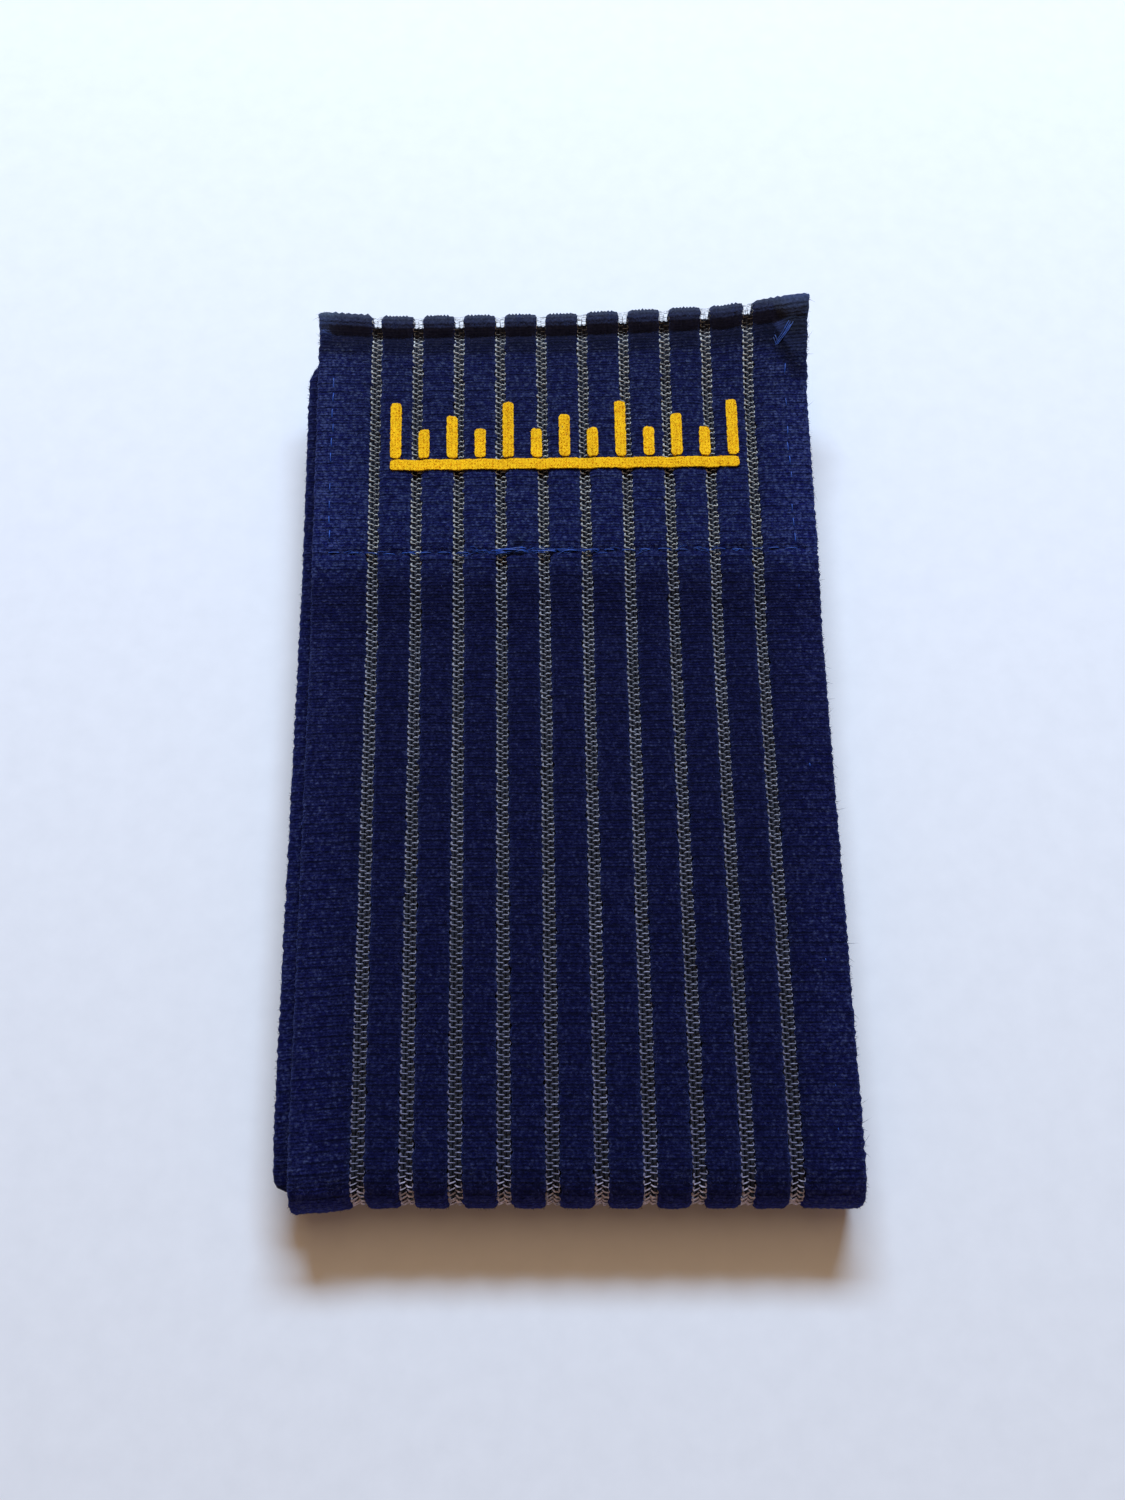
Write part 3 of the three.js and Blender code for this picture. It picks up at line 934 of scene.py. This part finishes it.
def makeStripes():
    half = stripes["rowPitch"] / 2
    shown, under = [], []
    for number, (side, offset) in enumerate((("left", half), ("right", 2 * half))):
        paths, thickness = combTeeth(side, offset, 0.0, visibleEnd, [0, 1, 2, 3, 4, 5], 40 + number)
        shown.append(tubeField(paths, thickness, 4))
        paths, thickness = combTeeth(side, offset, visibleEnd, path["length"], [0, 2, 4, 5], 50 + number)
        under.append(tubeField(paths, thickness, 3))
    for name, fields in (("stripe_mesh", shown), ("stripe_mesh_under", under)):
        piece = tubePiece(name, fields)
        finishPiece(piece, stripeYarn, smoothTo=80)
        yield piece
    shares, places = ribStations(stripes["warpStep"] * 3)
    warpCount = int(path["length"] / stripes["warpStep"] / 2)
    s = np.interp(np.linspace(0, 1, warpCount), shares, places)
    s[0], s[-1] = 0.3, path["length"] - 0.3
    openFrom, openTo = crestS - stripes["openTo"][0], crestS + stripes["openTo"][1]
    s = np.sort(np.append(s, (openFrom - 0.2, openFrom, openTo, openTo + 0.2)))
    lines = []
    for stripe in range(cloth["stripeCount"]):
        for place, height in stripes["warpPlaces"]:
            weave = height + 0.05 * np.sin(s * 2 * math.pi / 3.1 + stripe)
            lines.append(np.column_stack((np.full_like(s, stripeCentre(stripe) + place), s, weave)))
    closed = pastRoll(s, openTo, openTo + 0.2)
    radius = stripes["warpAtRoll"] + (stripes["warpRadius"] - stripes["warpAtRoll"]) * closed
    piece = tubePiece("stripe_elastic", [tubeField(np.array(lines), radius, 5), notchHairs()])
    finishPiece(piece, elasticYarn, smoothTo=80)
    yield piece


stripePieces = list(makeStripes())


# Loose fibres standing out of the pile

fuzz = {
    "faceFibres": 31000,
    "sideFibres": 5000,
    "underFibres": 9000,
    "upShare": 0.6,              # of the under fibres; the rest point down, and none at the floor
    "length": (0.22, 0.62),
    "thickness": 0.035,
    "lean": 1.1,
    "strayFibres": 70,
    "strayLength": (0.9, 1.9),
}


def fibreField(roots, outward, lengths, thickness, rng):  # three-sided spikes
    count = len(roots)
    lean = rng.normal(0, fuzz["lean"], (count, 3))
    direction = outward + lean - outward * np.sum(lean * outward, axis=1, keepdims=True)
    direction /= np.linalg.norm(direction, axis=1, keepdims=True)
    side = np.cross(direction, rng.normal(0, 1, (count, 3)))
    side /= np.linalg.norm(side, axis=1, keepdims=True)
    other = np.cross(direction, side)
    points = np.empty((count, 4, 3))
    for corner in range(3):
        angle = corner * 2 * math.pi / 3
        points[:, corner] = roots + thickness * (side * math.cos(angle) + other * math.sin(angle))
    points[:, 3] = roots + direction * lengths[:, None]
    first = np.arange(count)[:, None] * 4
    faces = np.concatenate([first + corner for corner in ((0, 1, 3), (1, 2, 3), (2, 0, 3), (0, 2, 1))])
    return points.reshape(-1, 3), faces.tolist()


def onRibs(rng, count):  # random places across the ribs
    ribOf = rng.choice(cloth["stripeCount"] + 1, count, p=ribShare())
    edges = np.array([ribEdges(rib) for rib in range(cloth["stripeCount"] + 1)])[ribOf]
    return edges[:, 0] + (edges[:, 1] - edges[:, 0]) * rng.uniform(0.03, 0.97, count)


def ribShare():
    widths = np.array([ribEdges(rib)[1] - ribEdges(rib)[0] for rib in range(cloth["stripeCount"] + 1)])
    return widths / widths.sum()


def makeFuzz():
    rng = np.random.default_rng(77)
    count = fuzz["faceFibres"]
    s = rng.uniform(1.0, visibleEnd, count)
    roots = [np.column_stack((onRibs(rng, count), s, np.full(count, halfRib)))]
    outward = [np.tile((0.0, 0.0, 1.0), (count, 1))]
    count = fuzz["sideFibres"]
    rightSide = rng.random(count) < 0.5
    x = np.where(rightSide, 1, -1) * cloth["width"] / 2
    s = rng.uniform(0.5, path["length"] - ribs["endCorner"], count)
    roots.append(np.column_stack((x, s, rng.uniform(-0.8, 0.8, count))))
    outward.append(np.column_stack((np.sign(x), np.zeros(count), np.zeros(count))))
    count = fuzz["underFibres"]
    s = rng.uniform(visibleEnd, path["length"] - 0.5, count)
    face = np.where((rng.random(count) < fuzz["upShare"]) & (s > ends["bottom"] + 4), 1.0, -1.0)
    roots.append(np.column_stack((onRibs(rng, count), s, face * halfRib)))
    outward.append(np.column_stack((np.zeros((count, 2)), face)))
    count = fuzz["strayFibres"]
    x = np.where(rng.random(count) < 0.5, 1, -1) * cloth["width"] / 2
    roots.append(np.column_stack((x, rng.uniform(4, visibleEnd, count), rng.uniform(-0.5, 0.8, count))))
    outward.append(np.column_stack((np.sign(x), np.zeros((count, 2)))))
    roots, outward = np.concatenate(roots), np.concatenate(outward)
    lengths = rng.uniform(*fuzz["length"], len(roots))
    lengths[-count:] = rng.uniform(*fuzz["strayLength"], count)
    points, faces = fibreField(roots - 0.05 * outward, outward, lengths, fuzz["thickness"], rng)
    flat = points.copy()
    flat[:, 1] = np.clip(flat[:, 1], 0.05, path["length"] - 0.05)
    piece = arrayPiece("pile_fuzz", layOnFold(flat), faces)
    finishPiece(piece, litTipFibre)
    return piece


pileFuzz = makeFuzz()


# Sewing

sewing = {
    "radius": 0.095,
    "wispRadius": 0.035,
    "tackRadius": 0.075,
    "sides": 6,
    "stitch": 2.7,
    "stitchHeight": (-0.04, -0.62),  # of its middle and its ends, over the ribs
    "seamFrom": -36.0,
    "seamTo": 35.4,
    "leftColumn": -35.5,
    "rightColumn": 34.5,
    "columnFrom": 1.5,
    "columnTo": 29.5,
    "columnStitch": 2.6,
    "columnHeight": (0.32, -0.3),
    "columnShare": 0.75,         # of its stitches show, the rest lie sunk in the pile
    "speckPitch": 5.5,
    "speck": 1.1,
    "knot": (-10.8, -5.4),
    "knotStrands": 4,
    "spindleStrands": 7,
    "secondKnot": (-4.4, 5.4),
    "secondStrands": 2,
    "wisps": [  # from, to, count, spread and rise
        (-14.5, -5.0, 16, 0.22, 0.45),
        (-4.5, 6.0, 12, 0.15, 0.30),
        (-36, 35, 24, 0.12, 0.12),
    ],
    "tack": [  # where each strand starts and ends: across, and up from the seam
        ((35.9, 36.2), (32.7, 32.3)),
        ((36.1, 35.7), (33.0, 32.4)),
        ((35.3, 36.0), (32.7, 32.8)),
        ((35.6, 35.3), (33.1, 33.0)),
        ((32.9, 34.3), (33.4, 32.8)),
        ((32.7, 34.0), (33.2, 32.6)),
    ],
}


def stitchRow(start, end, rng, rise, sink, stitch, gap=0.25):  # arcs from start to end, in (x, s)
    start, end = np.array(start), np.array(end)
    span = np.linalg.norm(end - start)
    count = max(1, round(span / stitch))
    share = np.linspace(0, 1, 9)
    arch = np.sin(share * math.pi) ** 0.45
    paths = []
    for number in range(count):
        low = (number + gap * 0.5 * rng.uniform(0.4, 1.4)) / count
        high = (number + 1 - gap * 0.5 * rng.uniform(0.4, 1.4)) / count
        ground = start + (end - start) * (low + (high - low) * share)[:, None]
        across = np.array((start[1] - end[1], end[0] - start[0])) / span
        ground = ground + across * (rng.normal(0, 0.10) + rng.normal(0, 0.07) * (share[:, None] - 0.5))
        height = halfRib + sink + (rise - sink) * arch * rng.uniform(0.75, 1.15)
        paths.append(np.column_stack((ground, height)))
    return np.array(paths)


def wisps(rng, low, high, count, spread, rise):  # short fine ends round a knot
    share = np.linspace(0, 1, 6)
    paths = []
    for _ in range(count):
        x = rng.uniform(low, high)
        reach = rng.uniform(0.8, 2.6) * rng.choice((-1, 1))
        bow = rng.normal(0, 0.25)
        s = seamS + rng.normal(0, spread) + bow * np.sin(share * math.pi) + rng.normal(0, 0.3) * share
        height = halfRib + rise * rng.uniform(0.1, 1.0) * np.sin(share * math.pi * 0.9)
        paths.append(np.column_stack((x + reach * share, s, height)))
    return np.array(paths)


def makeSewing():
    rng = np.random.default_rng(91)
    seamStart, seamEnd = (sewing["seamFrom"], seamS), (sewing["seamTo"], seamS)
    row = stitchRow(seamStart, seamEnd, rng, *sewing["stitchHeight"], sewing["stitch"])
    left, right = sewing["knot"]
    knot = [stitchRow((left + rng.uniform(0, 1), seamS + rng.normal(0.1, 0.22)),
                      (right - rng.uniform(0, 1), seamS + rng.normal(0.1, 0.22)),
                      rng, rng.uniform(0.08, 0.34), -0.2, 2.4) for _ in range(sewing["knotStrands"])]
    spindle = [stitchRow((left + rng.uniform(0, 2.2), seamS + rng.normal(0.0, 0.12)),
                         (right - rng.uniform(0, 0.8), seamS + rng.normal(0.12, 0.28)),
                         rng, rng.uniform(0.1, 0.45), -0.3, 6.0, 0.05)
               for _ in range(sewing["spindleStrands"])]
    left, right = sewing["secondKnot"]
    second = [stitchRow((left, seamS + rng.normal(0, 0.12)), (right, seamS + rng.normal(0, 0.12)),
                        rng, 0.10, -0.3, 3.0) for _ in range(sewing["secondStrands"])]
    columns = []
    for place, start, end in ((sewing["leftColumn"], sewing["columnTo"], sewing["columnFrom"]),
                              (sewing["rightColumn"], sewing["columnTo"] + 1, 0.3)):
        column = stitchRow((place, seamS - start), (place, seamS - end), rng,
                           *sewing["columnHeight"], sewing["columnStitch"], 0.3)
        columns.append(column[rng.random(len(column)) < sewing["columnShare"]])
    specks = []
    for s in np.arange(seamS + sewing["speckPitch"], ends["top"], sewing["speckPitch"]):
        speckEnd = (sewing["rightColumn"] + 0.1, s + sewing["speck"])
        specks.append(stitchRow((sewing["rightColumn"], s), speckEnd, rng, 0.02, -0.5, sewing["speck"]))
    thick = np.concatenate((row, *knot, *spindle, *second, *columns, *specks))
    thin = np.concatenate([wisps(rng, *run) for run in sewing["wisps"]])
    fields = [tubeField(thick, sewing["radius"], sewing["sides"]), tubeField(thin, sewing["wispRadius"], 4)]
    piece = tubePiece("sewing", fields)
    finishPiece(piece, blueThread, smoothTo=80)


def makeTack():  # a loose tick of thread at the hem's right corner
    rng = np.random.default_rng(94)
    strands = np.concatenate([stitchRow((start[0], seamS - start[1]), (end[0], seamS - end[1]),
                                        rng, 0.20, -0.15, 6.0, 0.05) for start, end in sewing["tack"]])
    fromGroove = (strands[:, :, 1] - grooveS) / ribs["cornerFillWidth"]
    filled = rampUp(strands[:, :, 0], *ribs["freeCorners"][0]) * np.exp(-fromGroove**2)
    strands[:, :, 2] += ribs["cornerFill"][0] * filled
    piece = tubePiece("corner_tack", [tubeField(strands, sewing["tackRadius"], sewing["sides"])])
    finishPiece(piece, shadedThread, smoothTo=80)


makeSewing()
makeTack()


# A plain gauge of bars, raised in flock across the tab

gauge = {
    "from": -26.5,
    "to": 26.8,
    "low": 13.4,
    "high": 24.6,
    "stroke": 1.65,
    "ticks": 13,
    "tickShares": (1.0, 0.6, 0.8, 0.6),  # repeats along the gauge
    "thickness": 0.34,
    "corner": 0.5,
    "cornerSteps": 3,
    "tickGap": 0.35,
    "lift": 0.10,
    "dip": 0.22,                 # over a stripe
    "dipHalfWidth": 1.25,
    "dipEase": 0.6,
    "cut": 0.45,
    "ragged": 0.06,
    "fibres": 9000,
    "fibreLength": (0.10, 0.26),
    "fibreThickness": 0.04,
}


def flockBar(lowX, highX, lowU, highU):
    place = ((lowX + highX) / 2, seamS - (lowU + highU) / 2, 0)
    size = (highX - lowX, highU - lowU, gauge["thickness"])
    bar = roundedBar(place, size, 2, gauge["corner"], gauge["cornerSteps"])
    for axis, low, high in ((0, lowX, highX), (1, seamS - highU, seamS - lowU)):
        normal = (1, 0, 0) if axis == 0 else (0, 1, 0)
        for cut in np.arange(low + gauge["cut"], high - 0.1, gauge["cut"]):
            point = [0.0, 0.0, 0.0]
            point[axis] = cut
            bpy.ops.mesh.select_all(action="SELECT")
            bpy.ops.mesh.bisect(plane_co=point, plane_no=normal)
    bpy.ops.object.mode_set(mode="OBJECT")
    return bar


def printLift(x):  # the print rides on the ribs and dips over the stripes
    nearest = np.rint(x / cloth["stripePitch"] + (cloth["stripeCount"] - 1) / 2)
    away = np.abs(x - stripeCentre(nearest))
    return halfRib + gauge["lift"] - gauge["dip"] * rampUp(gauge["dipHalfWidth"] - away, 0, gauge["dipEase"])


def makeGauge():
    bars = [flockBar(gauge["from"], gauge["to"], gauge["low"], gauge["low"] + gauge["stroke"])]
    pitch = (gauge["to"] - gauge["from"] - gauge["stroke"]) / (gauge["ticks"] - 1)
    height = gauge["high"] - gauge["low"]
    foot = gauge["low"] + gauge["stroke"] + gauge["tickGap"]
    for tick in range(gauge["ticks"]):
        left = gauge["from"] + tick * pitch
        top = gauge["low"] + height * gauge["tickShares"][tick % len(gauge["tickShares"])]
        bars.append(flockBar(left, left + gauge["stroke"], foot, top))
    piece = joinPieces("gauge_print", bars)
    x, s, h = pieceCoords(piece).T
    raggedX = gauge["ragged"] * softNoise(x, s, 0.7, 8)
    raggedS = gauge["ragged"] * softNoise(x, s, 0.6, 9)
    flat = np.column_stack((x + raggedX, s + raggedS, h + printLift(x)))
    rng = np.random.default_rng(17)
    shown = [face for face in piece.data.polygons if face.normal.z > -0.5]
    shown.sort(key=lambda face: tuple(face.center))  # bisect leaves the faces in another order each run
    corners = [[piece.data.vertices[v].co for v in face.vertices] for face in shown]
    weights = np.array([face.area for face in shown])
    chosen = rng.choice(len(corners), gauge["fibres"], p=weights / weights.sum())
    mix = rng.dirichlet((1, 1, 1), gauge["fibres"])
    roots = np.array([np.array(corners[face][:3]).T @ share for face, share in zip(chosen, mix)])
    roots[:, 2] += printLift(roots[:, 0])
    setCoords(piece, layOnFold(flat))
    clothUv(piece, flat)
    outwardNormals(piece)
    finishPiece(piece, yellowFlock, smoothTo=40)
    up = np.tile((0.0, 0.0, 1.0), (len(roots), 1))
    lengths = rng.uniform(*gauge["fibreLength"], len(roots))
    points, faces = fibreField(roots, up, lengths, gauge["fibreThickness"], rng)
    nap = arrayPiece("gauge_nap", layOnFold(points), faces)
    finishPiece(nap, yellowFlock)


makeGauge()


# The hook patch under the tab

patch = {
    "width": 69.0,
    "length": 28.0,
    "corner": 3.0,
    "cornerSteps": 6,
    "setback": 0.5,
    "border": 2.0,
    "borderRise": 0.12,
    "borderSlope": 0.25,
    "hookPitch": (1.5, 1.3),
    "hookInset": 3.2,
    "hookRadius": 0.09,
    "hook": ((0, 0.00, 0.20), (0, 0.02, -0.10), (0, 0.10, -0.22), (0, 0.26, -0.24), (0, 0.36, -0.12)),
}


def onPatch(points):  # (x, u, v) under the tab to the strap's place, in metres
    u, v = points[:, 1], points[:, 2]
    y = seamY + u * math.cos(tabSlope) - v * math.sin(tabSlope) + originY
    z = seamZ + u * math.sin(tabSlope) + v * math.cos(tabSlope)
    return mm * np.column_stack((points[:, 0] + originX, y, z))


def makeHookPatch():
    thickness = fold["patchThickness"]
    endU = patch["setback"] + patch["length"]
    place = (0, patch["setback"] + patch["length"] / 2, -halfRib - fold["layerGap"] - thickness / 2)
    size = (patch["width"], patch["length"], thickness - patch["borderRise"])
    tape = roundedBar(place, size, 2, patch["corner"], patch["cornerSteps"])
    bpy.ops.mesh.select_all(action="DESELECT")
    bpy.ops.object.mode_set(mode="OBJECT")
    for face in tape.data.polygons:
        face.select = face.normal.z < -0.9
    bpy.ops.object.mode_set(mode="EDIT")
    bpy.ops.mesh.inset(thickness=patch["border"], depth=0)
    bpy.ops.mesh.inset(thickness=patch["borderSlope"], depth=-patch["borderRise"])
    bpy.ops.object.mode_set(mode="OBJECT")
    points = pieceCoords(tape)
    lowV = points[:, 2].min()
    pitchX, pitchU = patch["hookPitch"]
    edgeX, inset = patch["width"] / 2, patch["hookInset"]
    across = np.arange(-edgeX + inset, edgeX - inset + 0.1, pitchX)
    along = np.arange(patch["setback"] + inset, endU - inset + 0.1, pitchU)
    x, u = (grid.ravel() for grid in np.meshgrid(across, along))
    column = np.rint((x - across[0]) / pitchX)
    u = u + np.where(column % 2 == 0, 0, 0.5 * pitchU)
    hooks = np.stack((x, u, np.full_like(x, lowV)), axis=1)[:, None] + np.array(patch["hook"])
    hooks = hooks[u < endU - inset]
    hookPoints, faces = tubeField(hooks, patch["hookRadius"], 4)
    setCoords(tape, onPatch(points))
    field = arrayPiece("hooks", onPatch(hookPoints), faces)
    piece = joinPieces("hook_tape", [tape, field])
    outwardNormals(piece)
    finishPiece(piece, hookTape, smoothTo=40)
    return piece


hookPiece = makeHookPatch()
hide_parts("hook_patch")


# Floor, light and camera

studio = {
    "floorSize": 6.0,
    "keyPlace": (0.0471, 0.7702, 0.6361),
    "keySize": (0.65, 0.18),
    "keyPower": 16.4,
    "keyColour": (0.56, 0.75, 1.0),
    "roomPlace": (0.0, 0.62, 1.25),
    "roomSize": (1.0, 1.0),
    "roomPower": 4.0,
    "roomColour": (1.0, 0.75, 0.47),
    "ambient": (0.20, 0.125, 0.083),
    "backdrop": (0.70, 0.73, 0.78),
    "cameraPlace": (-0.00195, -0.05909, 0.1870),
    "cameraAim": (0.0102, 0.2940, -0.9557),
    "cameraUp": (0.0146, 0.9556, 0.2942),
    "lens": 30.72,
    "sensor": 36.0,
}


def areaLight(name, place, size, power, colour):  # aimed at the strap
    light = bpy.data.lights.new(name, "AREA")
    light.shape = "RECTANGLE"
    light.size, light.size_y = size
    light.energy = power
    light.color = colour
    lamp = bpy.data.objects.new(name, light)
    lamp.location = place
    lamp.rotation_euler = (-lamp.location).to_track_quat("-Z", "Y").to_euler()
    bpy.context.collection.objects.link(lamp)


def makeStudio():
    deselectAll()
    bpy.ops.mesh.primitive_plane_add(size=studio["floorSize"], location=(0, 0, 0))
    floor = bpy.context.object
    floor.name = "floor"
    floor.data.materials.append(paperFinish())
    for kind in ("key", "room"):
        areaLight(kind + "Light", *(studio[kind + part] for part in ("Place", "Size", "Power", "Colour")))
    world = bpy.data.worlds.new("room")
    bpy.context.scene.world = world
    world.use_nodes = True
    tree = world.node_tree
    glow = tree.nodes["Background"]
    glow.inputs["Color"].default_value = (*studio["ambient"], 1.0)
    backdrop = tree.nodes.new("ShaderNodeBackground")
    backdrop.inputs["Color"].default_value = (*studio["backdrop"], 1.0)
    seen = tree.nodes.new("ShaderNodeLightPath")
    mix = tree.nodes.new("ShaderNodeMixShader")
    tree.links.new(seen.outputs["Is Camera Ray"], mix.inputs["Fac"])
    tree.links.new(glow.outputs["Background"], mix.inputs[1])
    tree.links.new(backdrop.outputs["Background"], mix.inputs[2])
    tree.links.new(mix.outputs["Shader"], tree.nodes["World Output"].inputs["Surface"])
    camera = bpy.data.cameras.new("camera")
    camera.lens = studio["lens"]
    camera.sensor_width = studio["sensor"]
    camera.clip_start = 0.005
    eye = bpy.data.objects.new("camera", camera)
    look = Vector(studio["cameraAim"]).normalized()
    up = Vector(studio["cameraUp"]).normalized()
    right = look.cross(up).normalized()
    up = right.cross(look)
    turn = Matrix((right, up, -look)).transposed().to_4x4()
    eye.matrix_world = Matrix.Translation(studio["cameraPlace"]) @ turn
    bpy.context.collection.objects.link(eye)
    bpy.context.scene.camera = eye
    bpy.context.scene.view_settings.view_transform = "Standard"


makeStudio()
print("studio set")
